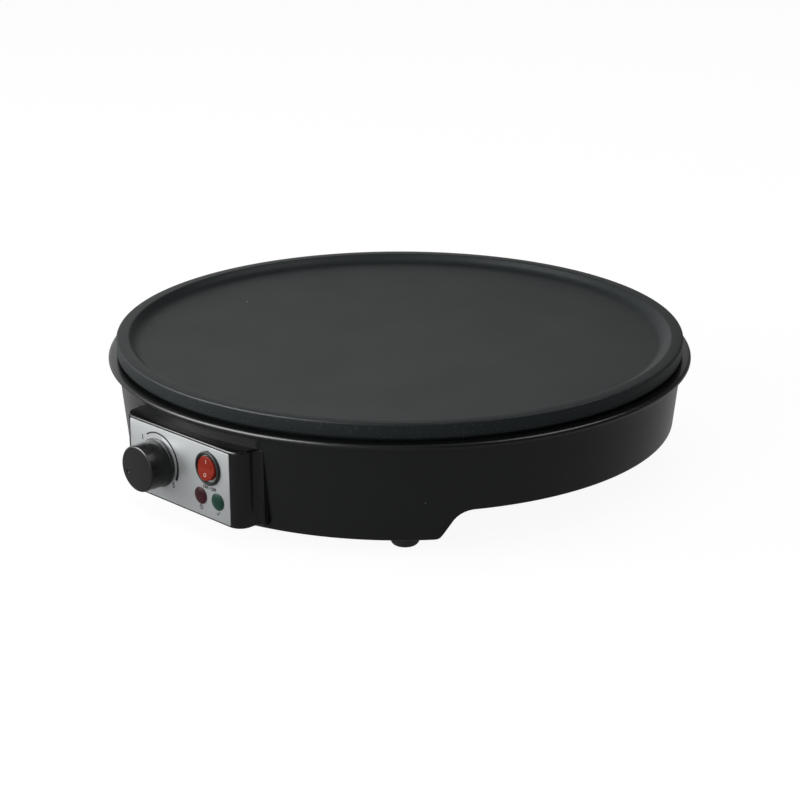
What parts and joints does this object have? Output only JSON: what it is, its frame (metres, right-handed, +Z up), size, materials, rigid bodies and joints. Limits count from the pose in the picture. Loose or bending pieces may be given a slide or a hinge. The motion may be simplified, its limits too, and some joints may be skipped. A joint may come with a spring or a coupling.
{
  "type": "electric crepe maker",
  "caption": "Round electric crepe maker: a shallow cast griddle on a moulded housing with hand grips, and a front control box with a dial, a rocker switch and lamps.",
  "frame": {"origin": "on the counter, straight below the centre of the round plate", "axes": "+Z up; the control panel faces -Y, and the cord entry faces +Y, so +X is the user's right"},
  "size_m": [0.3088, 0.3259, 0.068],
  "materials": {
    "coated_cast_alloy": "dark grey non-stick coating on a cast alloy plate, satin",
    "sheathed_steel": "heat-tinted tube",
    "nickel_steel": "nickel plated",
    "ceramic_white": "unglazed steatite",
    "zinc_steel": "zinc plated",
    "bright_aluminium": "bright sheet",
    "fuse_case": "tan sealed case",
    "black_plastic": "heat-proof moulding, satin",
    "black_steel": "black painted sheet",
    "black_rubber": "matt",
    "silver_panel": "silver printed, fine satin",
    "knob_plastic": "dark grey, satin",
    "brass_parts": "plain",
    "bimetal": "plain strip",
    "switch_black": "black, satin",
    "red_rocker": "red, gloss",
    "red_lens": "clear red, gloss",
    "green_lens": "clear green, gloss",
    "bulb_glass": "clear, small",
    "block_plastic": "cream",
    "brown_wire": "insulated lead",
    "blue_wire": "insulated lead",
    "black_wire": "insulated lead",
    "red_wire": "insulated lead",
    "green_wire": "insulated earth lead",
    "white_wire": "insulated lead"
  },
  "bodies": {
    "base": {"griddle_plate": "coated_cast_alloy", "heating_element": "sheathed_steel", "element_pins": "nickel_steel", "element_beads": "ceramic_white", "element_clamps": "zinc_steel", "clamp_screws": "zinc_steel", "heat_reflector": "bright_aluminium", "spacers_upper": "ceramic_white", "spacers_lower": "ceramic_white", "plate_screws": "zinc_steel", "thermal_fuse": "fuse_case", "fuse_strap": "zinc_steel", "housing": "black_plastic", "bottom_cover": "black_steel", "cover_screws": "zinc_steel", "foot_front_left": "black_rubber", "foot_front_right": "black_rubber", "foot_rear_left": "black_rubber", "foot_rear_right": "black_rubber", "control_box": "black_plastic", "box_screws": "zinc_steel", "control_panel": "silver_panel", "thermostat_bushing": "brass_parts", "thermostat_nut": "brass_parts", "thermostat_frame": "zinc_steel", "thermostat_ceramics": "ceramic_white", "thermostat_rivet": "brass_parts", "bimetal_strip": "bimetal", "contact_blades": "brass_parts", "contact_tips": "nickel_steel", "switch_body": "switch_black", "switch_terminals": "nickel_steel", "power_lens": "red_lens", "ready_lens": "green_lens", "lamp_collars": "switch_black", "lamp_bulbs": "bulb_glass", "terminal_block": "block_plastic", "terminal_screws": "brass_parts", "cord_gland": "switch_black", "gland_nut": "switch_black", "cord_clamp": "switch_black", "clamp_bar_screws": "zinc_steel", "earth_tag": "nickel_steel", "earth_screw": "brass_parts", "wire_live": "brown_wire", "wire_neutral": "blue_wire", "wire_fuse": "white_wire", "wire_switched": "black_wire", "wire_heater": "red_wire", "wire_earth": "green_wire", "lamp_leads": "white_wire"},
    "knob": {"thermostat_knob": "knob_plastic", "thermostat_spindle": "zinc_steel"},
    "rocker": {"switch_rocker": "red_rocker"},
    "seesaw": {"switch_seesaw": "brass_parts"}
  },
  "joints": [
    {"name": "thermostat_turn", "type": "hinge", "parent": "base", "child": "knob", "pos_m": [-0.0156, -0.1548, 0.0298], "axis": [0, 1, 0], "range_deg": [0, 243]},
    {"name": "rocker_tilt", "type": "hinge", "parent": "base", "child": "rocker", "pos_m": [0.0216, -0.1535, 0.0369], "axis": [1, 0, 0], "range_deg": [0, 14]},
    {"name": "seesaw_tilt", "type": "hinge", "parent": "base", "child": "seesaw", "pos_m": [0.0216, -0.1462, 0.0369], "axis": [1, 0, 0], "range_deg": [-10, 0]}
  ],
  "couplings": [
    {"joint": "seesaw_tilt", "follows": "rocker_tilt", "ratio": -0.71429}
  ]
}
